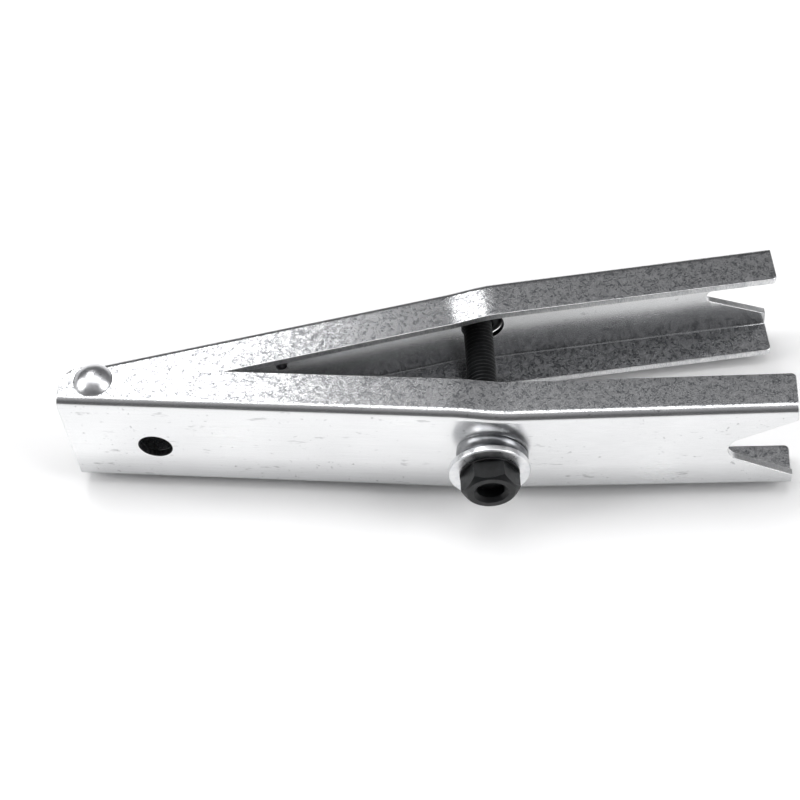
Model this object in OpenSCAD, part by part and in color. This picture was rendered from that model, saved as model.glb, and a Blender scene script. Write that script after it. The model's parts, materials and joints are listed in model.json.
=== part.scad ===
// Ball joint separator: two pressed steel channel arms hinged on a rivet at one
// end, forked at the other, and drawn together by a forcing bolt between them.
// X runs from the hinge to the forks, Y across the arms, Z along the hinge rivet.
// The origin is under the middle of the tool, on the plane it lies on.

/* [Arms] */
// Sheet thickness of both arms
sheet_t = 2.5; // [2:0.1:3]
// Outside radius of the folds between web and flanges
fold_r = 3.2; // [2.8:0.1:4]
// Depth of each channel, web outside to flange edge
arm_depth = 14.6; // [13:0.1:17]
// Width across the outer arm's flanges at the hinge
hinge_w = 44.5; // [40:0.5:50]
// Width across the outer arm's flanges at the fork
outer_fork_w = 43.8; // [38:0.1:44]
// Width of the outer arm at its narrow neck, just past the jog
outer_neck_w = 42.4; // [38:0.1:44]
// Width across the inner arm's flanges at the fork
inner_fork_w = 42; // [38:0.1:44]
// Hinge axis to the outside of each web
web_out = 9.2; // [8:0.1:11]
// Hinge axis to the fork tips, along each arm
arm_reach = 232; // [220:1:240]
// Where the outer arm's two straight runs would meet
outer_corner = 139; // [132:1:150]
// Where the inner arm's two straight runs would meet
inner_corner = 129; // [125:1:140]
// How far the outer arm's fork run bends in, in degrees
outer_bend = 4.2; // [3:0.1:6]
// How far the inner arm's fork run bends in, in degrees
inner_bend = 5.6; // [3:0.1:7]
// Angle between the arms as stored, in degrees
spread = 16.7; // [10:0.1:17.5]

/* [Fork notches] */
// Depth of the outer arm's V notch from its fork tips
outer_notch_depth = 21.7; // [16:0.1:24]
// Depth of the inner arm's V notch from its fork tips
inner_notch_depth = 21; // [14:0.1:24]
// Half angle of the V, in degrees
notch_half_angle = 28.5; // [20:0.5:32]
// Radius at the bottom of the outer arm's V
outer_notch_r = 6.7; // [2.5:0.1:8]
// Radius at the bottom of the inner arm's V
inner_notch_r = 3.2; // [2.5:0.1:8]

/* [Hinge] */
// Rivet shank diameter
rivet_d = 8; // [6:0.5:10]
// Rivet dome diameter
rivet_head_d = 13.5; // [11:0.5:16]
// Rivet dome height
rivet_head_h = 3.6; // [2.5:0.1:5]
// Outside diameter of the spacer sleeve on the rivet
sleeve_d = 12; // [10:0.5:13]

/* [Forcing bolt] */
// Thread diameter
bolt_d = 10; // [8:1:10]
// Length under the head
bolt_len = 75; // [72:1:90]
// Across the flats of head and nut
hex_af = 17; // [16:1:17]
// Head height with its washer face
head_h = 7.6; // [6:0.1:9]
// Recess in the end of the head
recess_d = 9.2; // [6:0.1:10]
// Depth of that recess
recess_depth = 4.5; // [2:0.5:5]

/* [Seats] */
// Distance along the arms from the hinge to both bolt seats
seat_x = 133; // [130:1:138]
// Pivot of each ball seat, outward from the web
pivot_out = 9.5; // [9:0.1:11]
// Seat ring outside diameter
ring_d = 24; // [22:0.5:26]
// Seat ring height
ring_h = 3.1; // [2.5:0.1:3.5]
// Ball washer rim diameter
washer_d = 27; // [25:0.5:30]
// Ball washer rim thickness
washer_t = 2.4; // [2:0.1:3]

/* [Holes] */
// Hole in the outer arm's web near the hinge
web_hole_d = 11.4; // [8:0.1:13]
// Small hole in the inner arm's web
pilot_hole_d = 3.3; // [2:0.1:5]

/* [Hidden] */
$fn = 64;

nest_gap = 0.3;        // between the nested flanges, each side
hinge_play = 0.05;     // rivet in the arms' holes, radial
ball_play = 0.1;       // between each ball seat and its socket
thread_play = 0.05;    // bolt in the nut, radial
eps = 0.01;

hinge_end = 11.2;      // outer arm behind the hinge
inner_hinge_end = 9;   // inner arm behind the hinge
hinge_corner_r = 7.5;  // flange corners at the hinge
tip_corner_r = 1.6;    // flange corners at the fork
web_hole_x = 18.5;
web_hole_z = -2.2;
pilot_hole_x = 62.2;
hinge_half_w = hinge_w / 2;
inner_half_w = hinge_half_w - sheet_t - nest_gap;

// The bend and the change of width share one run of each arm.
jog_start = 120;
jog_end = 143;
jog_width_end = 138;
jog_stations = 14;
fold_steps = 5;

bolt_hole_d = 13;
bolt_hole_x = seat_x - 1;
nut_hole_d = 14.6;
ring_bore_d = 14;
ball_r = 10.7;
nut_ball_r = 13;
nut_collar_d = 21.5;   // round collar that carries the ball face
nut_collar_drop = 3.4; // nut's outer face to the collar
washer_bottom = 5.1;   // web to the rim's underside, untilted
nut_top = 7.5;         // web_out plane to the nut's outer face
washer_face_d = 19.9;
washer_face_h = 0.8;
head_face_d = 16.4;
recess_mouth_d = 11.8;
hex_corner_r = hex_af / 2 / cos(30);

tilt = spread / 2;
head_out = washer_bottom + washer_t - pivot_out;   // head underside from the pivot
head_end = head_out + head_h;

// Extents that place the origin.
x_low = -hinge_end;
x_high = outer_corner + (arm_reach - outer_corner) * cos(outer_bend);
y_low = -(web_out + pivot_out) - head_end * cos(tilt) - head_face_d / 2 * sin(tilt);
inner_tip_u = inner_corner + (arm_reach - inner_corner) * cos(inner_bend);
inner_tip_w = web_out - (arm_reach - inner_corner) * sin(inner_bend);
y_high = inner_tip_u * sin(spread) + inner_tip_w * cos(spread);
z_low = -(hinge_half_w + rivet_head_h);

module in_frame() {
  translate([-(x_low + x_high) / 2, -(y_low + y_high) / 2, -z_low]) children();
}

// Each arm is drawn with its web outward along +Y. The outer arm is the mirror
// image on the -Y side, and the inner arm is swung open about the hinge.
module outer_side() {
  in_frame() mirror([0, 1, 0]) children();
}

module inner_side() {
  in_frame() rotate([0, 0, spread]) children();
}

// Channel section as a ring of points: web outside at X = 0, flanges towards -X.
function fold_points(half_w, r, back) = [
  for (side = [1, -1])
    for (i = [0:fold_steps])
      let (a = side > 0 ? 90 * (1 - i / fold_steps) : -90 * i / fold_steps)
        [-back - r + r * cos(a), side * (half_w - r) + r * sin(a)]
];

function section_points(half_w) = concat(
  [[-arm_depth, half_w]],
  fold_points(half_w, fold_r, 0),
  [[-arm_depth, -half_w], [-arm_depth, -(half_w - sheet_t)]],
  reversed(fold_points(half_w - sheet_t, fold_r - sheet_t, sheet_t)),
  [[-arm_depth, half_w - sheet_t]]
);

function reversed(list) = [for (i = [len(list) - 1:-1:0]) list[i]];

function ease(t) = t <= 0 ? 0 : t >= 1 ? 1 : t * t * (3 - 2 * t);

// Outside of the web along the jog: a cubic from the hinge run to the fork run.
function fork_line(x, corner, bend) = web_out - (x - corner) * tan(bend);

function jog_w(t, corner, bend) =
  let (end_w = fork_line(jog_end, corner, bend))
    web_out + (end_w - web_out) * ease(t)
    + (jog_end - jog_start) * tan(bend) * t * t * (1 - t);

function jog_angle(t, corner, bend) =
  let (dt = 0.001)
    atan2(
      jog_w(t + dt, corner, bend) - jog_w(t - dt, corner, bend),
      2 * dt * (jog_end - jog_start)
    );

function section_at(x, w, a, half_w) = [
  for (p = section_points(half_w)) [x - p[0] * sin(a), w + p[0] * cos(a), p[1]]
];

function jog_ring(t, half_a, half_n, corner, bend) =
  let (
    x = jog_start + t * (jog_end - jog_start),
    w = jog_w(t, corner, bend),
    a = t <= 0 ? 0 : t >= 1 ? -bend : jog_angle(t, corner, bend),
    grow = ease((x - jog_start) / (jog_width_end - jog_start))
  )
    section_at(x, w, a, half_a + (half_n - half_a) * grow);

// Skin over a row of equal rings of points, closed at both ends.
module skin(rings) {
  count = len(rings[0]);
  last = (len(rings) - 1) * count;
  sides = [
    for (k = [0:len(rings) - 2])
      for (i = [0:count - 1])
        let (j = (i + 1) % count)
          for (tri = [
            [k * count + i, (k + 1) * count + i, (k + 1) * count + j],
            [k * count + i, (k + 1) * count + j, k * count + j]
          ])
            tri
  ];
  // Each cap is a strip of triangles between the outside and the inside of the section.
  pairs = [for (i = [0:count / 2 - 2]) [i, i + 1, count - 2 - i, count - 1 - i]];
  start_cap = [
    for (q = pairs) for (tri = [[q[0], q[1], q[2]], [q[0], q[2], q[3]]]) tri
  ];
  end_cap = [for (tri = start_cap) [last + tri[2], last + tri[1], last + tri[0]]];
  polyhedron([for (ring = rings) for (p = ring) p], concat(start_cap, end_cap, sides));
}

// The bare channel: hinge run, jog and fork run in one piece.
module channel(half_a, half_n, half_b, corner, bend, end) {
  tip_x = corner + (arm_reach - corner) * cos(bend);
  skin(concat(
    [section_at(-end, web_out, 0, half_a)],
    [for (k = [0:jog_stations]) jog_ring(k / jog_stations, half_a, half_n, corner, bend)],
    [section_at(tip_x, fork_line(tip_x, corner, bend), -bend, half_b)]
  ));
}

// Rounds a flange corner at the origin, with the flange towards +X and +Y. The
// circle is a little larger than its distance from the edges, so it crosses them.
module corner_cut(r, height) {
  overlap = 0.05;
  linear_extrude(height, center = true)
    difference() {
      translate([-1, -1]) square(r + 1);
      translate([r, r]) circle(r + overlap);
    }
}

module notch_outline(depth, r) {
  mouth = r / cos(notch_half_angle) + (depth - r + 1) * tan(notch_half_angle);
  touch_x = depth - r + r * sin(notch_half_angle);
  touch_y = r * cos(notch_half_angle);
  translate([-(depth - r), 0]) circle(r);
  polygon([[1, mouth], [-touch_x, touch_y], [-touch_x, -touch_y], [1, -mouth]]);
}

// What is cut from the fork end, drawn from the tip of the web's outside.
module fork_cuts(half_w, notch_depth, notch_r) {
  translate([0, eps, 0]) rotate([90, 0, 0])
    linear_extrude(sheet_t + 2 * eps) notch_outline(notch_depth, notch_r);
  translate([0, -arm_depth, 0]) mirror([1, 0, 0]) corner_cut(tip_corner_r, 2 * half_w + 2);
}

module arm(half_a, half_n, half_b, corner, bend, end, notch_depth, notch_r) {
  tip_x = corner + (arm_reach - corner) * cos(bend);
  difference() {
    channel(half_a, half_n, half_b, corner, bend, end);
    cylinder(h = 2 * half_a + 2, r = rivet_d / 2 + hinge_play, center = true);
    translate([-end, web_out - arm_depth, 0]) corner_cut(hinge_corner_r, 2 * half_a + 2);
    translate([tip_x, fork_line(tip_x, corner, bend), 0]) rotate([0, 0, -bend])
      fork_cuts(half_b, notch_depth, notch_r);
  }
}

// A hole through the web, along Y.
module web_hole(x, z, d) {
  translate([x, web_out - sheet_t - 2, z]) rotate([-90, 0, 0]) cylinder(h = sheet_t + 4, d = d);
}

module outer_arm() {
  color("gainsboro") outer_side() difference() {
    arm(
      hinge_half_w, outer_neck_w / 2, outer_fork_w / 2, outer_corner, outer_bend, hinge_end,
      outer_notch_depth, outer_notch_r
    );
    web_hole(web_hole_x, web_hole_z, web_hole_d);
    web_hole(bolt_hole_x, 0, bolt_hole_d);
    translate([seat_x, web_out, 0]) rotate([-90, 0, 0]) cylinder(h = 2, d = ring_d + 0.6);
  }
}

module inner_arm() {
  color("gainsboro") inner_side() difference() {
    arm(
      inner_half_w, inner_fork_w / 2, inner_fork_w / 2, inner_corner, inner_bend, inner_hinge_end,
      inner_notch_depth, inner_notch_r
    );
    web_hole(pilot_hole_x, 0, pilot_hole_d);
    web_hole(seat_x, 0, nut_hole_d);
    translate([seat_x, web_out + pivot_out, 0]) sphere(nut_ball_r + ball_play);
  }
}

module rivet_dome() {
  dome_r = (pow(rivet_head_d / 2, 2) + pow(rivet_head_h, 2)) / (2 * rivet_head_h);
  intersection() {
    translate([0, 0, rivet_head_h - dome_r]) sphere(dome_r);
    cylinder(h = 2 * rivet_head_h, d = 2 * rivet_head_d);
  }
}

module hinge_rivet() {
  color("silver") in_frame() {
    cylinder(h = hinge_w, d = rivet_d, center = true);
    for (side = [0, 1])
      mirror([0, 0, side]) translate([0, 0, hinge_half_w]) rivet_dome();
  }
}

module hinge_sleeve() {
  sleeve_len = 2 * (inner_half_w - sheet_t - nest_gap);
  color("darkgray") in_frame() difference() {
    cylinder(h = sleeve_len, d = sleeve_d, center = true);
    cylinder(h = sleeve_len + 2, d = rivet_d + 0.3, center = true);
  }
}

// Local frame of the bolt: origin at the outer arm's seat pivot, Z outward.
module bolt_frame() {
  in_frame() translate([seat_x, -(web_out + pivot_out), 0])
    rotate([0, 0, tilt]) rotate([90, 0, 0]) children();
}

module hex_head() {
  hex_h = head_h - washer_face_h;
  cone_h = 20;
  cone_r = head_face_d / 2 + cone_h / tan(30);
  cylinder(h = washer_face_h, d = washer_face_d);
  translate([0, 0, washer_face_h]) intersection() {
    cylinder(h = hex_h, r = hex_corner_r, $fn = 6);
    translate([0, 0, hex_h - cone_h]) cylinder(h = cone_h, r1 = cone_r, r2 = head_face_d / 2);
  }
}

module forcing_bolt() {
  point_h = 1.2;
  color("dimgray") bolt_frame() translate([0, 0, head_out]) difference() {
    union() {
      hex_head();
      translate([0, 0, -bolt_len + point_h]) cylinder(h = bolt_len - point_h, d = bolt_d);
      translate([0, 0, -bolt_len]) cylinder(h = point_h, d1 = bolt_d - 2 * point_h, d2 = bolt_d);
    }
    translate([0, 0, head_h - recess_depth]) cylinder(h = recess_depth + 1, d = recess_d);
    translate([0, 0, head_h - (recess_mouth_d - recess_d) / 2])
      cylinder(h = (recess_mouth_d - recess_d) / 2 + eps, d1 = recess_d, d2 = recess_mouth_d);
  }
}

module ball_washer() {
  rim_low = washer_bottom - pivot_out;
  belly_half = sqrt(pow(ball_r, 2) - pow(rim_low, 2));
  color("silver") bolt_frame() difference() {
    union() {
      translate([0, 0, rim_low]) cylinder(h = washer_t, d = washer_d);
      intersection() {
        sphere(ball_r);
        translate([0, 0, rim_low - ball_r]) cylinder(h = ball_r + 1, r = belly_half + 1);
      }
    }
    translate([0, 0, -ball_r - 1]) cylinder(h = 2 * ball_r, d = bolt_d + 0.7);
  }
}

module seat_ring() {
  edge = 1.6;
  color("silver") outer_side() translate([seat_x, web_out, 0]) rotate([-90, 0, 0]) difference() {
    union() {
      cylinder(h = ring_h - edge, d = ring_d);
      translate([0, 0, ring_h - edge]) cylinder(h = edge, d1 = ring_d, d2 = ring_d - 2 * edge);
    }
    translate([0, 0, -1]) cylinder(h = ring_h + 2, d = ring_bore_d);
    translate([0, 0, pivot_out]) sphere(ball_r + ball_play);
  }
}

// The nut stays square to the bolt, so it is drawn about the inner seat's pivot.
module nut_frame() {
  inner_side() translate([seat_x, web_out + pivot_out, 0])
    rotate([0, 0, -tilt]) rotate([-90, 0, 0]) children();
}

module ball_nut() {
  top = nut_top - pivot_out;
  chamfer_h = 20;
  chamfer_r = head_face_d / 2 + chamfer_h / tan(30);
  color("dimgray") nut_frame() difference() {
    intersection() {
      union() {
        translate([0, 0, top - 12]) cylinder(h = 12, r = hex_corner_r, $fn = 6);
        translate([0, 0, top - 12]) cylinder(h = 12 - nut_collar_drop, d = nut_collar_d);
      }
      sphere(nut_ball_r);
      translate([0, 0, top - chamfer_h]) cylinder(h = chamfer_h, r1 = chamfer_r, r2 = head_face_d / 2);
    }
    translate([0, 0, top - 14]) cylinder(h = 16, r = bolt_d / 2 + thread_play);
  }
}

outer_arm();
inner_arm();
hinge_rivet();
hinge_sleeve();
forcing_bolt();
ball_washer();
seat_ring();
ball_nut();
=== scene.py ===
"""Ball joint separator: the finished look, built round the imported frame.

Shapes are worked out in millimetres in the hinge frame, with the origin on the
hinge axis at mid height and X along the outer arm, and placed by the record's
joints. Every node is replaced by a finer piece of the same size.
"""
import json
import math

import bmesh
import bpy
import numpy as np
from mathutils import Matrix, Vector
from mathutils.geometry import delaunay_2d_cdt


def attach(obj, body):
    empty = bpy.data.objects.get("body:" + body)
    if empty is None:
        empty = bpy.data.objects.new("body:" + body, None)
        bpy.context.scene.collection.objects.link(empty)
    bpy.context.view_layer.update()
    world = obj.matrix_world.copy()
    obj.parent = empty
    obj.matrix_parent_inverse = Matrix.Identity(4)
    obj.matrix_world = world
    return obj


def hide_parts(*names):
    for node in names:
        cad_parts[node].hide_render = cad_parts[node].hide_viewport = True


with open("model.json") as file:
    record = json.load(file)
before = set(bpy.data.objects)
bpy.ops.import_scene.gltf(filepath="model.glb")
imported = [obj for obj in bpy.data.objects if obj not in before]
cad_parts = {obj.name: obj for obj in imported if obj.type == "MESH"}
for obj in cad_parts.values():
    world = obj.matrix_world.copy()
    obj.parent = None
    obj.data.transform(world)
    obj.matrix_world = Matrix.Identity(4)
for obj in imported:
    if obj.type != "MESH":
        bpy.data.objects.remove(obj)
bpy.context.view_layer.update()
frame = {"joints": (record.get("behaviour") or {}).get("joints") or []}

MM = 0.001
JOINTS = {j["name"]: j for j in frame["joints"]}
HINGE = Vector(JOINTS["arm_hinge"]["pos_m"])
BOLT_PIVOT = Vector(JOINTS["bolt_tilt"]["pos_m"])
NUT_PIVOT = Vector(JOINTS["nut_tilt"]["pos_m"])
BOLT_OUT = -Vector(JOINTS["bolt_spin"]["axis"]).normalized()
TILT = math.atan2(BOLT_OUT.x, -BOLT_OUT.y)
SPREAD = 2 * TILT

# The part's own dimensions, in millimetres.
SHEET_T = 2.5
FOLD_R = 3.2
ARM_DEPTH = 14.6
WEB_OUT = 9.2
ARM_REACH = 232.0
JOG_START, JOG_END, JOG_WIDTH_END = 120.0, 143.0, 138.0
HINGE_CORNER_R, TIP_CORNER_R = 7.5, 1.6
NOTCH_HALF_ANGLE = math.radians(28.5)
HINGE_W = 44.5
RIVET_D, RIVET_HEAD_D, RIVET_HEAD_H = 8.0, 13.5, 3.6
SLEEVE_D, SLEEVE_LEN = 12.0, 33.3
BOLT_D, BOLT_LEN, HEX_AF, HEAD_H = 10.0, 75.0, 17.0, 7.6
THREAD_PITCH, THREAD_DEPTH = 1.5, 0.92
RECESS_D, RECESS_DEPTH, RECESS_MOUTH_D = 9.2, 4.5, 11.8
SEAT_X, PIVOT_OUT = 133.0, 9.5
RING_D, RING_H, RING_BORE_D = 24.0, 3.1, 14.0
WASHER_D, WASHER_T, WASHER_BOTTOM, BALL_R = 27.0, 2.4, 5.1, 10.7
NUT_BALL_R, NUT_TOP, NUT_COLLAR_D, NUT_COLLAR_DROP = 13.0, 7.5, 21.5, 3.4
BALL_PLAY, HINGE_PLAY, THREAD_PLAY, NEST_GAP = 0.1, 0.05, 0.05, 0.3
HEAD_CHAMFER = math.radians(40)
HEAD_OUT = WASHER_BOTTOM + WASHER_T - PIVOT_OUT

OUTER_ARM = dict(
    half_a=HINGE_W / 2, neck=21.2, half_b=21.9, corner=139.0, bend=math.radians(4.2), end=11.2,
    notch=21.7, notch_r=6.7, side=-1, turn=0.0,
    holes=[(18.5, -2.2, 5.7), (SEAT_X - 1, 0.0, 6.5)],
)
INNER_ARM = dict(
    half_a=HINGE_W / 2 - SHEET_T - NEST_GAP, neck=21.0, half_b=21.0, corner=129.0,
    bend=math.radians(5.6), end=9.0, notch=21.0, notch_r=3.2, side=1, turn=SPREAD,
    holes=[(62.2, 0.0, 1.65), (SEAT_X, 0.0, 7.3)],
)

EDGE = 0.22          # rounding of the sheared edges
FOLD_STEPS = 10
FOLD_ARC = math.pi / 2 * (FOLD_R - SHEET_T / 2)
ROUND = 48           # segments of a full turn on the arms' holes
TURN = 96            # segments of a full turn on turned pieces


# ---------------------------------------------------------------- meshes

def make_piece(name, node, body, verts, faces, materials, face_slots=None, matrix=None):
    """A closed piece that stands for a CAD node; verts are in millimetres."""
    mesh = bpy.data.meshes.new(name)
    mesh.from_pydata([tuple(Vector(v) * MM) for v in verts], [], faces)
    for material in materials:
        mesh.materials.append(material)
    if face_slots is not None:
        mesh.polygons.foreach_set("material_index", face_slots)
    bm = bmesh.new()
    bm.from_mesh(mesh)
    bmesh.ops.recalc_face_normals(bm, faces=bm.faces)
    bm.to_mesh(mesh)
    bm.free()
    mesh.polygons.foreach_set("use_smooth", [True] * len(mesh.polygons))
    piece = bpy.data.objects.new(name, mesh)
    bpy.context.scene.collection.objects.link(piece)
    piece.matrix_world = matrix or Matrix.Translation(HINGE)
    bpy.context.view_layer.update()
    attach(piece, body)
    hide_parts(node)
    return piece


def soften(piece, width, angle, edge_slot=-1):
    """Rounds the piece's sharp edges and keeps its flats flat."""
    bevel = piece.modifiers.new("edges", "BEVEL")
    bevel.width = width * MM
    bevel.segments = 2
    bevel.limit_method = "ANGLE"
    bevel.angle_limit = math.radians(angle)
    bevel.material = edge_slot
    weighted = piece.modifiers.new("normals", "WEIGHTED_NORMAL")
    weighted.keep_sharp = True
    return piece


class Skin:
    """Rings of points round the Z axis, joined one to the next."""

    def __init__(self, segments=TURN):
        self.n = segments
        self.verts = []
        self.faces = []

    def angle(self, k):
        return 2 * math.pi * (k % self.n) / self.n

    def point(self, k, r, z):
        a = self.angle(k)
        self.verts.append((r * math.cos(a), r * math.sin(a), z))
        return len(self.verts) - 1

    def ring(self, shape):
        """shape(angle) gives the radius and height at that angle."""
        return [self.point(k, *shape(self.angle(k))) for k in range(self.n)]

    def circle(self, r, z):
        return self.ring(lambda a: (r, z))

    def join(self, a, b):
        for k in range(self.n):
            j = (k + 1) % self.n
            self.faces.append((a[k], a[j], b[j], b[k]))

    def chain(self, rings, closed=False):
        for a, b in zip(rings, rings[1:] + rings[:1] if closed else rings[1:]):
            self.join(a, b)

    def cap(self, ring, z):
        centre = self.point(0, 0.0, z)
        for k in range(self.n):
            self.faces.append((ring[k], ring[(k + 1) % self.n], centre))


def arc(centre_r, centre_z, radius, start, end, steps):
    """Points of a profile along an arc; angles in degrees from the outward radius."""
    points = []
    for i in range(steps + 1):
        a = math.radians(start + (end - start) * i / steps)
        points.append((centre_r + radius * math.cos(a), centre_z + radius * math.sin(a)))
    return points


def ball_arc(radius, z_from, z_to, steps):
    """Profile points on a ball about the origin, between two heights."""
    points = []
    for i in range(steps + 1):
        z = z_from + (z_to - z_from) * i / steps
        points.append((math.sqrt(radius * radius - z * z), z))
    return points


# ---------------------------------------------------------------- arms

def ease(t):
    """A smooth step from 0 to 1."""
    t = min(max(t, 0.0), 1.0)
    return t * t * (3 - 2 * t)


def tip_of(arm):
    """Where the fork ends, along the arm's hinge run."""
    return arm["corner"] + (ARM_REACH - arm["corner"]) * math.cos(arm["bend"])


def fork_line(x, arm):
    """Outside of the web on the fork run."""
    return WEB_OUT - (x - arm["corner"]) * math.tan(arm["bend"])


def jog_line(t, arm):
    """Outside of the web over the jog, at the share t of its length."""
    end_w = fork_line(JOG_END, arm)
    bow = (JOG_END - JOG_START) * math.tan(arm["bend"]) * t * t * (1 - t)
    return WEB_OUT + (end_w - WEB_OUT) * ease(t) + bow


def station(x, arm):
    """Outside of the web at x: distance from the hinge line, slope and half width."""
    grow = ease((x - JOG_START) / (JOG_WIDTH_END - JOG_START))
    half = arm["half_a"] + (arm["neck"] - arm["half_a"]) * grow
    if x <= JOG_START:
        return WEB_OUT, 0.0, half
    if x >= JOG_END:
        tip_x = tip_of(arm)
        half += (arm["half_b"] - arm["neck"]) * (x - JOG_END) / (tip_x - JOG_END)
        return fork_line(x, arm), -arm["bend"], half
    t = (x - JOG_START) / (JOG_END - JOG_START)
    step = 0.001
    rise = jog_line(t + step, arm) - jog_line(t - step, arm)
    return jog_line(t, arm), math.atan2(rise, 2 * step * (JOG_END - JOG_START)), half


def web_half(arm):
    """Half the flat width of the web in the blank."""
    return arm["half_a"] - FOLD_R


def flange_edge(arm):
    """Distance of a flange's free edge from the blank's centre line."""
    return web_half(arm) + FOLD_ARC + ARM_DEPTH - FOLD_R


def fold_up(x, y, depth, arm):
    """The flat blank's point (x, y), depth below its outside, on the folded arm."""
    w, slope, half = station(x, arm)
    side = 1 if y > 0 else -1
    past = abs(y) - web_half(arm)
    if past <= 0:
        back, z = depth, y * (half - FOLD_R) / web_half(arm)
    elif past <= FOLD_ARC:
        a = past / FOLD_ARC * math.pi / 2
        back = FOLD_R - (FOLD_R - depth) * math.cos(a)
        z = side * (half - FOLD_R + (FOLD_R - depth) * math.sin(a))
    else:
        back, z = FOLD_R + past - FOLD_ARC, side * (half - depth)
    u, v = x + back * math.sin(slope), w - back * math.cos(slope)
    v *= arm["side"]
    c, s = math.cos(arm["turn"]), math.sin(arm["turn"])
    return (u * c - v * s, u * s + v * c, z)


def round_corner(x, y, r, start, steps):
    """A quarter circle inside the corner at (x, y), from the angle start in degrees."""
    turn = math.radians(start + 45)
    cx = x - r * math.copysign(1, math.cos(turn))
    cy = y - r * math.copysign(1, math.sin(turn))
    angles = [math.radians(start + 90 * i / steps) for i in range(steps + 1)]
    return [(cx + r * math.cos(a), cy + r * math.sin(a)) for a in angles]


def fold_rows(arm):
    """Rows of points across a fold, from the web to the flange."""
    start = web_half(arm)
    return [start + FOLD_ARC * i / FOLD_STEPS for i in range(FOLD_STEPS + 1)]


def notch_points(tip_x, arm):
    """The V notch from its lower mouth round to its upper mouth."""
    stretch = web_half(arm) / (arm["half_b"] - FOLD_R)
    depth, r = arm["notch"], arm["notch_r"]
    mouth = r / math.cos(NOTCH_HALF_ANGLE) + (depth - r) * math.tan(NOTCH_HALF_ANGLE)
    first = 1.5 * math.pi - NOTCH_HALF_ANGLE
    sweep = 2 * first - 2 * math.pi
    steps = 20
    points = [(tip_x, -mouth)]
    for i in range(steps + 1):
        a = first - sweep * i / steps
        points.append((tip_x - depth + r + r * math.cos(a), r * math.sin(a)))
    points.append((tip_x, mouth))
    return [(x, z * stretch) for x, z in points]


def blank_outline(arm):
    """Edge of the flat blank, anticlockwise."""
    tip_x = tip_of(arm)
    edge, rows = flange_edge(arm), fold_rows(arm)
    columns = long_columns(-arm["end"] + HINGE_CORNER_R, tip_x - TIP_CORNER_R)[1:-1]
    loop = round_corner(-arm["end"], -edge, HINGE_CORNER_R, 180, 14)
    loop += [(x, -edge) for x in columns]
    loop += round_corner(tip_x, -edge, TIP_CORNER_R, 270, 6)
    loop += [(tip_x, -y) for y in reversed(rows)]
    loop += notch_points(tip_x, arm)
    loop += [(tip_x, y) for y in rows]
    loop += round_corner(tip_x, edge, TIP_CORNER_R, 0, 6)
    loop += [(x, edge) for x in reversed(columns)]
    loop += round_corner(-arm["end"], edge, HINGE_CORNER_R, 90, 14)
    loop += [(-arm["end"], y) for y in reversed(rows)]
    loop += [(-arm["end"], -y) for y in rows]
    return loop


def long_columns(start, end):
    """Stations along the arm, close together over the jog."""
    spots = list(np.arange(start, JOG_START - 2, 6.0))
    spots += list(np.arange(JOG_START - 1, JOG_END + 1, 1.25))
    spots += list(np.arange(JOG_END + 4, end - 2, 6.0))
    return spots + [end]


def hole_outline(x, y, r, squash=1.0):
    """A hole's edge, clockwise."""
    angles = [-2 * math.pi * i / ROUND for i in range(ROUND)]
    return [(x + r * math.cos(a), y + r * math.sin(a) * squash) for a in angles]


def arm_loops(arm):
    """Each edge of the blank with its rim: pairs of inset and depth across the sheet."""
    soft = [(EDGE, 0.0), (0.29 * EDGE, 0.29 * EDGE), (0.0, EDGE)]
    rim = soft + [(i, SHEET_T - d) for i, d in reversed(soft)]
    loops = [(blank_outline(arm), rim)]
    for x, z, r in arm["holes"]:
        stretch = web_half(arm) / (station(x, arm)[2] - FOLD_R)
        is_ball_seat = arm is INNER_ARM and x == SEAT_X
        seat = seat_rim(r) + rim[3:] if is_ball_seat else rim
        loops.append((hole_outline(x, z * stretch, r, stretch), seat))
    rivet_y = web_half(arm) + FOLD_ARC + WEB_OUT - FOLD_R
    for side in (1, -1):
        loops.append((hole_outline(0.0, side * rivet_y, RIVET_D / 2 + HINGE_PLAY), rim))
    return loops


def seat_rim(hole_r):
    """The ball seat pressed into the mouth of the inner arm's nut hole."""
    ball = NUT_BALL_R + BALL_PLAY
    to_web = WEB_OUT + PIVOT_OUT - station(SEAT_X, INNER_ARM)[0]
    mouth = math.sqrt(ball * ball - to_web * to_web)
    steps = 5
    points = []
    for i in range(steps + 1):
        r = mouth + (hole_r - mouth) * i / steps
        points.append((r - hole_r, math.sqrt(ball * ball - r * r) - to_web))
    return points


def inset(loop, distance):
    """The loop moved into the sheet, which lies on its left."""
    moved = []
    for i, (x, y) in enumerate(loop):
        ax, ay = loop[i - 1]
        bx, by = loop[(i + 1) % len(loop)]
        before = Vector((x - ax, y - ay)).normalized()
        after = Vector((bx - x, by - y)).normalized()
        normal = Vector((-before.y - after.y, before.x + after.x))
        normal.normalize()
        lean = max(0.3, normal.dot(Vector((-before.y, before.x))))
        moved.append((x + normal.x * distance / lean, y + normal.y * distance / lean))
    return moved


def inside(points, loops):
    """Which points lie inside the first loop and outside the others."""
    hit = np.zeros(len(points), bool)
    x, y = points[:, 0], points[:, 1]
    for loop in loops:
        p = np.array(loop)
        q = np.roll(p, -1, axis=0)
        for (ax, ay), (bx, by) in zip(p, q):
            crosses = (ay > y) != (by > y)
            if ay != by:
                hit ^= crosses & (x < ax + (y - ay) * (bx - ax) / (by - ay))
    return hit


def clear_of(points, loops, gap):
    """Which points are further than gap from every edge."""
    keep = np.ones(len(points), bool)
    for loop in loops:
        p = np.array(loop)
        for a, b in zip(p, np.roll(p, -1, axis=0)):
            run = b - a
            t = np.clip(((points - a) @ run) / max(run @ run, 1e-12), 0, 1)
            near = a + t[:, None] * run
            keep &= np.hypot(*(points - near).T) > gap
    return keep


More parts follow.
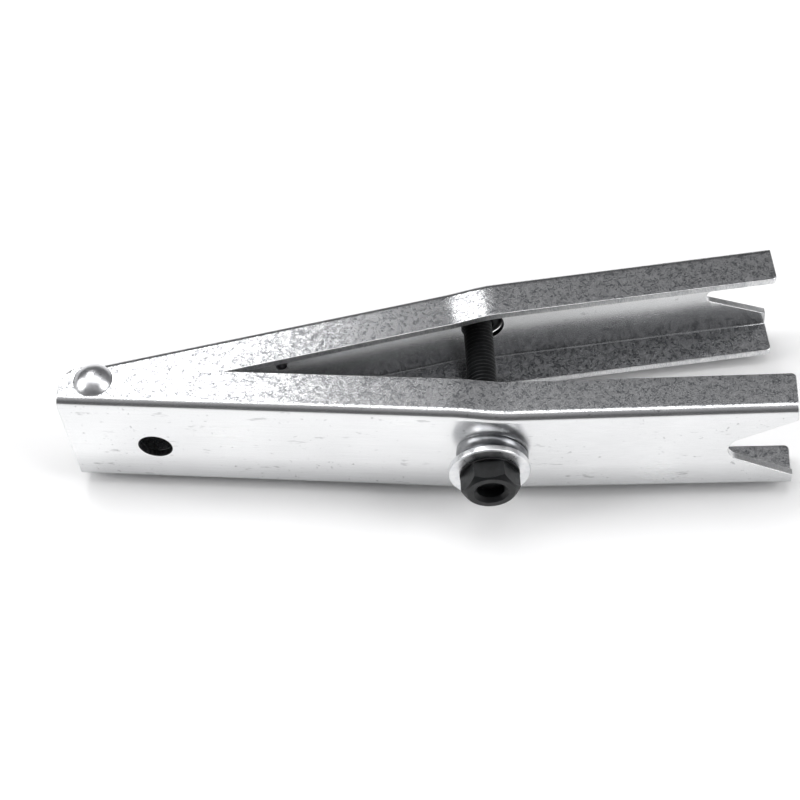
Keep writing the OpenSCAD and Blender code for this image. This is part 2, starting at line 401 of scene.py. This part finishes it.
def lattice(arm, loops):
    """Inner points of the blank: rows at every fold line, columns along the arm."""
    tip_x = tip_of(arm)
    rows = fold_rows(arm)
    web_rows = list(np.linspace(-rows[0], rows[0], 8))[1:-1]
    flange_rows = list(np.linspace(rows[-1], flange_edge(arm), 5))[1:-1]
    ys = sorted(web_rows + rows + flange_rows + [-y for y in rows + flange_rows])
    xs = long_columns(-arm["end"] + 3.0, tip_x - 3.0)
    points = np.array([(x, y) for y in ys for x in xs])
    keep = inside(points, loops) & clear_of(points, loops, 0.6)
    return points[keep]


def fill(arm, loops):
    """Triangles of one side of the sheet, and the points they use."""
    points, edges = [], []
    for loop in loops:
        first = len(points)
        points += loop
        edges += [(first + i, first + (i + 1) % len(loop)) for i in range(len(loop))]
    rim_count = len(points)
    inner = lattice(arm, loops)
    points += [tuple(p) for p in inner]
    for y in fold_rows(arm) + [-y for y in fold_rows(arm)]:
        row = [i for i in range(rim_count, len(points)) if abs(points[i][1] - y) < 1e-6]
        edges += [(a, b) for a, b in zip(row, row[1:]) if points[b][0] - points[a][0] < 6.5]
    out = delaunay_2d_cdt([Vector(p) for p in points], edges, [], 0, 1e-7)
    spots, triangles = [tuple(p) for p in out[0]], out[2]
    middles = np.array([[sum(spots[i][k] for i in t) / 3 for k in (0, 1)] for t in triangles])
    kept = inside(middles, loops)
    rank = {}
    for new, old in enumerate(out[3]):
        for i in old:
            rank[i] = new
    return spots, [t for t, k in zip(triangles, kept) if k], [rank[i] for i in range(rim_count)]


def build_arm(name, body, arm, materials):
    """Both faces of the folded sheet and the rims of its edges and holes."""
    loops = arm_loops(arm)
    verts, faces, slots = [], [], []
    rims = []
    for pick, depth in ((0, 0.0), (-1, SHEET_T)):
        edges = [inset(loop, rim[pick][0]) for loop, rim in loops]
        spots, triangles, rank = fill(arm, edges)
        first = len(verts)
        verts += [fold_up(x, y, depth, arm) for x, y in spots]
        faces += [tuple(first + i for i in t) for t in triangles]
        slots += [0] * len(triangles)
        rims.append([first + i for i in rank])
    start = 0
    for loop, rim in loops:
        count = len(loop)
        rings = [rims[0][start:start + count]]
        for step, depth in rim[1:-1]:
            rings.append(range(len(verts), len(verts) + count))
            verts += [fold_up(x, y, depth, arm) for x, y in inset(loop, step)]
        rings.append(rims[1][start:start + count])
        for a, b in zip(rings, rings[1:]):
            for i in range(count):
                j = (i + 1) % count
                faces.append((a[i], a[j], b[j], b[i]))
                slots.append(1 if start == 0 else 2)
        start += count
    piece = make_piece(name, name, body, verts, faces, materials, slots)
    weighted = piece.modifiers.new("normals", "WEIGHTED_NORMAL")
    weighted.weight = 80
    return piece


# ---------------------------------------------------------------- turned pieces

def pivot_frame(pivot, out):
    """Local frame of a seat: Z along the bolt, X along the arms."""
    up = Vector((0, 0, 1)) if out.y < 0 else Vector((0, 0, -1))
    along = up.cross(out)
    turn = Matrix((along, up, out)).transposed()
    return Matrix.Translation(pivot) @ turn.to_4x4()


def turned(name, body, profile, materials, matrix, edge=0.12):
    """A closed piece turned from a profile of radius and height."""
    skin = Skin()
    skin.chain([skin.circle(r, z) for r, z in profile], closed=True)
    piece = make_piece(name, name, body, skin.verts, skin.faces, materials,
                       matrix=matrix)
    return soften(piece, edge, 40)


def hex_r(angle):
    """Radius of the hexagon at an angle, with a corner at zero."""
    return HEX_AF / 2 / math.cos(angle % (math.pi / 3) - math.pi / 6)


def chamfer_z(angle, top, face_r):
    """Where the chamfer from the end face meets the hexagon."""
    return top - (hex_r(angle) - face_r) * math.tan(HEAD_CHAMFER)


def thread_r(z, angle):
    """Radius of the thread: a flat crest, a 60 degree V and a flat root."""
    u = (z / THREAD_PITCH - angle / (2 * math.pi)) % 1.0
    crest, flank, root = 0.125, 0.3125, 0.25
    if u < crest:
        cut = 0.0
    elif u < crest + flank:
        cut = (u - crest) / flank
    elif u < crest + flank + root:
        cut = 1.0
    else:
        cut = (1.0 - u) / flank
    return BOLT_D / 2 - THREAD_DEPTH * cut


def thread(skin, z_low, z_high, point_h):
    """A helical skin between two heights; returns its lowest and highest rings."""
    n = skin.n
    marks = (0.0, 0.125, 0.4375, 0.6875)
    seen = {}

    def vert(h, mark):
        k = h % n
        z = z_low - THREAD_PITCH + THREAD_PITCH * (h / n + marks[mark])
        z = round(min(max(z, z_low), z_high), 5)
        if (k, z) not in seen:
            limit = BOLT_D / 2 - point_h + (z - z_low)
            seen[k, z] = skin.point(k, min(limit, thread_r(z - z_low, skin.angle(k))), z)
        return seen[k, z]

    turns = math.ceil((z_high - z_low) / THREAD_PITCH) + 2
    for h in range(-n, turns * n):
        for mark in range(4):
            up_h, up_mark = (h, mark + 1) if mark < 3 else (h + n, 0)
            quad = [vert(h, mark), vert(h + 1, mark), vert(up_h + 1, up_mark), vert(up_h, up_mark)]
            face = tuple(dict.fromkeys(quad))
            if len(face) > 2:
                skin.faces.append(face)
    low = [seen[k, round(z_low, 5)] for k in range(n)]
    high = [seen[k, round(z_high, 5)] for k in range(n)]
    return low, high


def build_bolt(materials, matrix):
    """Threaded shank, washer face and hexagon head with its recess."""
    skin = Skin(72)
    face_r, cone = 7.9, RECESS_MOUTH_D / 2 - RECESS_D / 2
    low, top = HEAD_OUT, HEAD_OUT + HEAD_H
    washer_face_r, washer_face_h = 9.95, 0.8
    neck, point_h = 3.0, 1.2
    tip, thread_end = thread(skin, low - BOLT_LEN, low - neck, point_h)
    skin.cap(tip, low - BOLT_LEN)
    fillet = arc(BOLT_D / 2 + 0.6, low - 0.6, 0.6, 180, 90, 4)
    rings = [thread_end] + [skin.circle(r, z) for r, z in fillet]
    rings += [skin.circle(washer_face_r - 0.3, low), skin.circle(washer_face_r, low + 0.3)]
    rings += [skin.circle(washer_face_r, low + washer_face_h)]
    rings += [skin.ring(lambda a: (hex_r(a) + 0.02, low + washer_face_h + 0.02))]
    rings += [skin.ring(lambda a: (hex_r(a), chamfer_z(a, top, face_r)))]
    rings += [skin.circle(r, z) for r, z in (
        (face_r, top), (RECESS_MOUTH_D / 2, top), (RECESS_D / 2, top - cone),
        (RECESS_D / 2, top - RECESS_DEPTH))]
    skin.chain(rings)
    skin.cap(rings[-1], top - RECESS_DEPTH - 0.5)
    piece = make_piece("forcing_bolt", "forcing_bolt", "bolt",
                       skin.verts, skin.faces, materials, matrix=matrix)
    return soften(piece, 0.16, 27, 1)


def build_nut(materials, matrix):
    """Hexagon nut on a round collar with a ball face."""
    skin = Skin(72)
    top = NUT_TOP - PIVOT_OUT
    face_r, bore_r, mouth = 8.2, BOLT_D / 2 + THREAD_PLAY, 0.5
    collar_r, collar_top = NUT_COLLAR_D / 2, top - NUT_COLLAR_DROP
    ball_end = -math.sqrt(NUT_BALL_R ** 2 - (bore_r + mouth) ** 2)
    ball_start = -math.sqrt(NUT_BALL_R ** 2 - collar_r ** 2)
    rings = [skin.circle(bore_r, top - mouth), skin.circle(bore_r + mouth, top)]
    rings += [skin.circle(face_r, top)]
    rings += [skin.ring(lambda a: (hex_r(a), chamfer_z(a, top, face_r)))]
    rings += [skin.ring(lambda a: (hex_r(a), collar_top))]
    rings += [skin.circle(collar_r - 0.3, collar_top), skin.circle(collar_r, collar_top - 0.3)]
    rings += [skin.circle(r, z) for r, z in ball_arc(NUT_BALL_R, ball_start, ball_end, 10)]
    rings += [skin.circle(bore_r, ball_end + mouth)]
    skin.chain(rings, closed=True)
    piece = make_piece("ball_nut", "ball_nut", "nut",
                       skin.verts, skin.faces, materials, matrix=matrix)
    return soften(piece, 0.16, 27, 1)


def build_washer(materials, matrix):
    """Washer with a rounded rim and a ball-shaped underside."""
    rim_low = WASHER_BOTTOM - PIVOT_OUT
    top, r, bore, soft = rim_low + WASHER_T, WASHER_D / 2, BOLT_D / 2 + 0.35, 0.55
    end = -math.sqrt(BALL_R ** 2 - bore ** 2)
    profile = [(bore, end)] + ball_arc(BALL_R, end, rim_low, 12)[1:]
    profile += arc(r - soft, rim_low + soft, soft, -90, 0, 5)
    profile += arc(r - soft, top - soft, soft, 0, 90, 5)
    profile += [(bore + 0.4, top), (bore, top - 0.4)]
    return turned("ball_washer", "washer", profile, materials, matrix)


def build_ring(materials, matrix):
    """Ring with a well rounded edge and the washer's ball seat."""
    r, bore, soft = RING_D / 2, RING_BORE_D / 2, 2.5
    ball = BALL_R + BALL_PLAY
    base, top = -PIVOT_OUT, RING_H - PIVOT_OUT
    mouth = math.sqrt(ball ** 2 - top ** 2)
    seat = -math.sqrt(ball ** 2 - bore ** 2)
    profile = [(bore, base), (r - 0.2, base), (r, base + 0.2)]
    profile += arc(r - soft, top - soft, soft, 0, 90, 12)
    profile += [(mouth + 0.25, top)]
    profile += ball_arc(ball, top - 0.25, seat, 8)
    return turned("seat_ring", "outer", profile, materials, matrix)


def build_rivet(materials):
    """Shank with a dome at each end."""
    dome_r = ((RIVET_HEAD_D / 2) ** 2 + RIVET_HEAD_H ** 2) / (2 * RIVET_HEAD_H)
    rest = HINGE_W / 2
    skin = Skin()
    rings = []
    steps = 16
    for side in (1, -1):
        dome = []
        for i in range(1, steps + 1):
            h = RIVET_HEAD_H * (1 - (i / steps) ** 2)
            r = math.sqrt(max(0.0, dome_r ** 2 - (dome_r - RIVET_HEAD_H + h) ** 2))
            dome.append(skin.circle(r, side * (rest + h)))
        dome += [skin.circle(RIVET_D / 2 + 0.3, side * rest)]
        dome += [skin.circle(RIVET_D / 2, side * (rest - 0.3))]
        skin.cap(dome[0], side * (rest + RIVET_HEAD_H))
        rings += dome if side > 0 else dome[::-1]
    skin.chain(rings)
    piece = make_piece("hinge_rivet", "hinge_rivet", "outer",
                       skin.verts, skin.faces, materials)
    return soften(piece, 0.35, 40)


def build_sleeve(materials):
    """Spacer tube round the rivet."""
    r, bore, half = SLEEVE_D / 2, RIVET_D / 2 + 0.15, SLEEVE_LEN / 2
    profile = [(bore, -half), (r, -half), (r, half), (bore, half)]
    return turned("hinge_sleeve", "outer", profile, materials,
                  Matrix.Translation(HINGE), 0.3)


# ---------------------------------------------------------------- materials

class Shader:
    """A small helper for node materials, with object coordinates in metres."""

    def __init__(self, name):
        self.material = bpy.data.materials.new(name)
        self.material.use_nodes = True
        self.tree = self.material.node_tree
        self.bsdf = self.tree.nodes["Principled BSDF"]
        self.spot = self.tree.nodes.new("ShaderNodeTexCoord")

    def node(self, kind, links=(), **values):
        node = self.tree.nodes.new(kind)
        for key, value in values.items():
            if key in node.inputs:
                node.inputs[key].default_value = value
            else:
                setattr(node, key, value)
        for socket, source in links:
            self.link(source, node.inputs[socket])
        return node

    def link(self, source, target):
        self.tree.links.new(source, target)

    def scaled(self, scale):
        mapping = self.node("ShaderNodeMapping", [("Vector", self.spot.outputs["Object"])])
        mapping.inputs["Scale"].default_value = scale
        return mapping.outputs["Vector"]

    def noise(self, scale, detail=3.0, rough=0.6, stretch=(1, 1, 1)):
        vector = self.scaled(stretch)
        node = self.node("ShaderNodeTexNoise", [("Vector", vector)],
                         Scale=scale, Detail=detail, Roughness=rough)
        return node.outputs["Fac"]

    def crystals(self, scale):
        """A random level for every crystal of a fine patchwork."""
        vector = self.spot.outputs["Object"]
        cells = self.node("ShaderNodeTexVoronoi", [("Vector", vector)], Scale=scale)
        split = self.node("ShaderNodeSeparateXYZ", [("Vector", cells.outputs["Color"])])
        return split.outputs["X"]

    def place(self, axis):
        """One coordinate of the point on the piece, in metres."""
        split = self.node("ShaderNodeSeparateXYZ", [("Vector", self.spot.outputs["Object"])])
        return split.outputs[axis]

    def math(self, operation, a, b=0.5, clamp=False):
        node = self.node("ShaderNodeMath", operation=operation, use_clamp=clamp)
        for socket, value in zip(node.inputs, (a, b)):
            if isinstance(value, (int, float)):
                socket.default_value = value
            else:
                self.link(value, socket)
        return node.outputs["Value"]

    def mix(self, a, share_a, b, share_b):
        """The sum of two values, each with its own share."""
        return self.math("ADD", self.math("MULTIPLY", a, share_a), self.math("MULTIPLY", b, share_b))

    def span(self, value, low, high, to_low=0.0, to_high=1.0):
        """Maps low..high onto to_low..to_high, held at the ends."""
        node = self.node("ShaderNodeMapRange", [("Value", value)])
        for key, number in zip(("From Min", "From Max", "To Min", "To Max"),
                               (low, high, to_low, to_high)):
            node.inputs[key].default_value = number
        return node.outputs["Result"]

    def blend(self, share, a, b):
        node = self.node("ShaderNodeMix", [("Factor", share)], data_type="FLOAT")
        for socket, value in ((node.inputs[2], a), (node.inputs[3], b)):
            if isinstance(value, (int, float)):
                socket.default_value = value
            else:
                self.link(value, socket)
        return node.outputs[0]

    def tint(self, share, dark, light):
        node = self.node("ShaderNodeValToRGB", [("Fac", share)])
        node.color_ramp.elements[0].color = (*dark, 1)
        node.color_ramp.elements[1].color = (*light, 1)
        return node.outputs["Color"]

    def finish(self, color, roughness, height, depth_mm, metallic=1.0):
        self.bsdf.inputs["Metallic"].default_value = metallic
        self.link(color, self.bsdf.inputs["Base Color"])
        self.link(roughness, self.bsdf.inputs["Roughness"])
        bump = self.node("ShaderNodeBump", [("Height", height)], Distance=depth_mm * MM)
        self.link(bump.outputs["Normal"], self.bsdf.inputs["Normal"])
        return self.material


def zinc_flange(s):
    """Tone, roughness and height of the flanges: fine crystals, each of its own brightness."""
    cell = s.crystals(1500)
    grain = s.noise(2300, 1.0, 0.6)
    clump = s.noise(420, 2.0, 0.6)
    fine = s.mix(grain, 0.60, clump, 0.40)
    crystal = s.math("ADD", s.span(fine, 0.36, 0.64), s.math("MULTIPLY", cell, 0.55))
    return s.span(crystal, 0.25, 1.20, 0.05, 0.76), s.span(crystal, 0.25, 1.20, 0.30, 0.22), fine


def zinc_web(s):
    """Tone, roughness and height of the webs: satin and scuffed, with painted shade towards the low
    edge.
    """
    brushed = s.noise(1.0, 2.0, 0.6, (40, 2400, 2400))
    soft = s.noise(30, 2.0, 0.5)
    satin = s.mix(brushed, 0.5, soft, 0.5)
    scuff = s.span(s.noise(1.0, 3.0, 0.7, (90, 260, 260)), 0.64, 0.70)
    speck = s.span(s.noise(600, 2.0, 0.6), 0.68, 0.73)
    marks = s.mix(scuff, 0.28, speck, 0.35)
    # painted shade: the web is darkened towards its low edge, standing in for the shadowed floor it
    # reflects there
    height_mm = s.math("MULTIPLY", s.place("Z"), 1000.0)
    web_painted_shade = s.span(height_mm, -21.0, -7.0, 0.42, 0.0)
    clean = s.span(satin, 0.3, 0.7, 0.84, 1.0)
    tone = s.math("SUBTRACT", s.math("SUBTRACT", clean, marks), web_painted_shade)
    return tone, s.span(satin, 0.3, 0.7, 0.20, 0.28), brushed


def zinc_sheet():
    """Zinc plated sheet: mottled crystals on the flanges, satin and lightly marked webs."""
    s = Shader("zinc_sheet")
    split = s.node("ShaderNodeSeparateXYZ", [("Vector", s.spot.outputs["Normal"])])
    flange = s.span(s.math("ABSOLUTE", split.outputs["Z"]), 0.90, 0.99)
    flange_tone, flange_rough, fine = zinc_flange(s)
    web_tone, web_rough, brushed = zinc_web(s)
    tone = s.blend(flange, web_tone, flange_tone)
    color = s.tint(tone, (0.10, 0.105, 0.115), (0.88, 0.885, 0.89))
    roughness = s.blend(flange, web_rough, flange_rough)
    height = s.math("MULTIPLY", s.blend(flange, brushed, fine), 0.4)
    return s.finish(color, roughness, height, 0.012)


def sheared_edge():
    """The sheared edges of the sheet: bright, with fine tear marks across them."""
    s = Shader("sheared_edge")
    tear = s.noise(1.0, 3.0, 0.7, (2600, 2600, 700))
    spot = s.noise(260, 2.0, 0.6)
    tone = s.mix(tear, 0.6, spot, 0.4)
    color = s.tint(s.span(tone, 0.35, 0.6), (0.50, 0.51, 0.53), (0.88, 0.88, 0.88))
    return s.finish(color, s.span(tone, 0.3, 0.7, 0.42, 0.28), tear, 0.05)


def punched_wall():
    """The walls of the punched holes: rough, with a near black colour that is painted shade inside
    the holes.
    """
    s = Shader("punched_wall")
    tear = s.noise(1.0, 3.0, 0.7, (900, 900, 900))
    # painted shade: the near black colour stands in for the shade inside the holes, not for the
    # steel's own colour; the roughness is the torn steel's own
    color = s.tint(s.span(tear, 0.35, 0.65), (0.012, 0.012, 0.013), (0.06, 0.06, 0.063))
    return s.finish(color, s.span(tear, 0.3, 0.7, 0.65, 0.5), tear, 0.05)


def turned_steel(name, dark, light, rough):
    """Turned steel in the given colours: rings left by the tool, thin stains and a few nicks; its
    darker copy on the ring is painted shade.
    """
    s = Shader(name)
    wave = s.node("ShaderNodeTexWave", [("Vector", s.spot.outputs["Object"])],
                  wave_type="RINGS", rings_direction="Z", Scale=900.0, Distortion=0.6, Detail=2.0)
    stain = s.noise(160, 3.0, 0.6)
    fine = s.noise(1400, 2.0, 0.6)
    color = s.tint(s.span(stain, 0.35, 0.65), dark, light)
    roughness = s.span(s.mix(stain, 0.5, fine, 0.5),
                       0.35, 0.65, rough, rough + 0.12)
    height = s.math("ADD", wave.outputs["Fac"], s.math("MULTIPLY", fine, 0.4))
    return s.finish(color, roughness, height, 0.004)


def black_oxide():
    """Black oxide on machined steel: near black, slightly blotched, with an oily sheen."""
    s = Shader("black_oxide")
    s.bsdf.inputs["Specular IOR Level"].default_value = 0.3
    blotch = s.noise(240, 3.0, 0.65)
    fine = s.noise(1900, 2.0, 0.6)
    color = s.tint(s.span(blotch, 0.35, 0.68), (0.004, 0.0045, 0.005), (0.012, 0.013, 0.014))
    roughness = s.span(blotch, 0.3, 0.7, 0.46, 0.33)
    height = s.mix(fine, 0.6, blotch, 0.4)
    return s.finish(color, roughness, height, 0.02, metallic=0.15)


def worn_oxide():
    """The head's edges, where the oxide has rubbed thin."""
    s = Shader("worn_oxide")
    wear = s.span(s.noise(420, 3.0, 0.7), 0.40, 0.66)
    color = s.tint(wear, (0.02, 0.02, 0.022), (0.15, 0.15, 0.155))
    return s.finish(color, s.span(wear, 0, 1, 0.42, 0.30), wear, 0.01, metallic=0.7)


# ---------------------------------------------------------------- scene

def build_tool():
    sheet = [zinc_sheet(), sheared_edge(), punched_wall()]
    bright = turned_steel("turned_steel", (0.66, 0.67, 0.69), (0.86, 0.86, 0.86), 0.26)
    # painted shade: the ring's darker copy of the turned steel stands in for the dark shaded arc
    # round the ring; the real ring is light like the web
    ring_shade_steel = turned_steel("ring_painted_shade", (0.16, 0.165, 0.175), (0.34, 0.345, 0.355), 0.30)
    polished = turned_steel("polished_rivet", (0.60, 0.61, 0.63), (0.82, 0.82, 0.83), 0.26)
    oxide, worn = black_oxide(), worn_oxide()
    bolt_side = pivot_frame(BOLT_PIVOT, BOLT_OUT)
    nut_side = pivot_frame(NUT_PIVOT, -BOLT_OUT)
    ring_side = pivot_frame(BOLT_PIVOT, Vector((0, -1, 0)))
    build_arm("outer_arm", "outer", OUTER_ARM, sheet)
    build_arm("inner_arm", "inner", INNER_ARM, sheet)
    build_rivet([polished])
    build_sleeve([bright])
    build_ring([ring_shade_steel], ring_side)
    build_washer([bright], bolt_side)
    build_bolt([oxide, worn], bolt_side)
    build_nut([oxide, worn], nut_side)


def build_floor():
    """A plain pale floor just under the tool."""
    size, drop = 8.0, 0.0004
    bm = bmesh.new()
    bmesh.ops.create_grid(bm, x_segments=8, y_segments=8, size=size)
    mesh = bpy.data.meshes.new("floor")
    bm.to_mesh(mesh)
    bm.free()
    floor = bpy.data.objects.new("floor", mesh)
    floor.location = (0, 0, -drop)
    bpy.context.scene.collection.objects.link(floor)
    s = Shader("floor_paper")
    tone = s.noise(3.0, 2.0, 0.5)
    s.link(s.tint(tone, (0.90, 0.90, 0.90), (0.93, 0.93, 0.93)), s.bsdf.inputs["Base Color"])
    s.bsdf.inputs["Roughness"].default_value = 0.9
    s.bsdf.inputs["Specular IOR Level"].default_value = 0.1
    mesh.materials.append(s.material)


def add_softbox(name, place, aim, size, strength):
    """A rectangular light; strength is its radiance."""
    data = bpy.data.lights.new(name, "AREA")
    data.shape = "RECTANGLE"
    data.size, data.size_y = size
    data.energy = strength * size[0] * size[1] * math.pi
    light = bpy.data.objects.new(name, data)
    light.location = place
    light.rotation_euler = (Vector(aim) - Vector(place)).to_track_quat("-Z", "Y").to_euler()
    bpy.context.scene.collection.objects.link(light)


def build_world():
    """A soft room: pale to the camera, darker and graded for what the steel reflects."""
    world = bpy.data.worlds.new("room")
    world.use_nodes = True
    bpy.context.scene.world = world
    tree = world.node_tree
    background = tree.nodes["Background"]
    path = tree.nodes.new("ShaderNodeLightPath")
    spot = tree.nodes.new("ShaderNodeTexCoord")
    split = tree.nodes.new("ShaderNodeSeparateXYZ")
    ramp = tree.nodes.new("ShaderNodeValToRGB")
    mix = tree.nodes.new("ShaderNodeMix")
    mix.data_type = "RGBA"
    tree.links.new(spot.outputs["Generated"], split.inputs["Vector"])
    tree.links.new(split.outputs["Z"], ramp.inputs["Fac"])
    ramp.color_ramp.elements[0].position = 0.55
    ramp.color_ramp.elements[0].color = (0.11, 0.11, 0.113, 1)
    ramp.color_ramp.elements[1].position = 0.95
    ramp.color_ramp.elements[1].color = (0.34, 0.34, 0.35, 1)
    tree.links.new(path.outputs["Is Camera Ray"], mix.inputs["Factor"])
    tree.links.new(ramp.outputs["Color"], mix.inputs["A"])
    mix.inputs["B"].default_value = (0.93, 0.93, 0.93, 1)
    tree.links.new(mix.outputs["Result"], background.inputs["Color"])


def build_lights():
    """Panels over the bench: the steel shows one bright band along its folds,
    a white patch by the hinge and a glint on the inner arm's jog."""
    height = 0.9
    for name, x, y, size, strength in (
        ("overhead", -0.05, 0.11, (1.1, 0.38), 3.3),
        ("back_left", -0.43, 0.50, (0.34, 0.30), 5.0),
        ("glint", -0.38, 0.74, (0.16, 0.10), 14.0),
    ):
        add_softbox(name, (x, y, height), (x, y, 0.0), size, strength)
    for name, x in (("right", 1.3), ("left", -1.3)):
        add_softbox(name, (x, -0.2, 0.9), (0.0, 0.0, 0.0), (0.9, 0.9), 5.0)


def build_camera():
    """Camera fitted to the photograph's viewing angle."""
    azimuth, elevation, roll = (math.radians(v) for v in (12.806, 54.109, -8.563))
    distance, lens, sensor = 0.72388, 96.304, 36.0
    target = HINGE + Vector((100.039, 11.751, 0.0)) * MM
    back = Vector((
        math.sin(azimuth) * math.cos(elevation),
        -math.cos(azimuth) * math.cos(elevation),
        math.sin(elevation),
    ))
    right = (-back).cross(Vector((0, 0, 1))).normalized()
    up = right.cross(-back)
    across = right * math.cos(roll) + up * math.sin(roll)
    above = up * math.cos(roll) - right * math.sin(roll)
    turn = Matrix((across, above, back)).transposed()
    data = bpy.data.cameras.new("camera")
    data.lens, data.sensor_width = lens, sensor
    data.clip_start, data.clip_end = 0.01, 50.0
    camera = bpy.data.objects.new("camera", data)
    camera.matrix_world = Matrix.Translation(target + back * distance) @ turn.to_4x4()
    bpy.context.scene.collection.objects.link(camera)
    bpy.context.scene.camera = camera


bpy.context.scene.view_settings.view_transform = "Standard"
build_tool()
build_floor()
build_world()
build_lights()
build_camera()

bpy.context.view_layer.update()
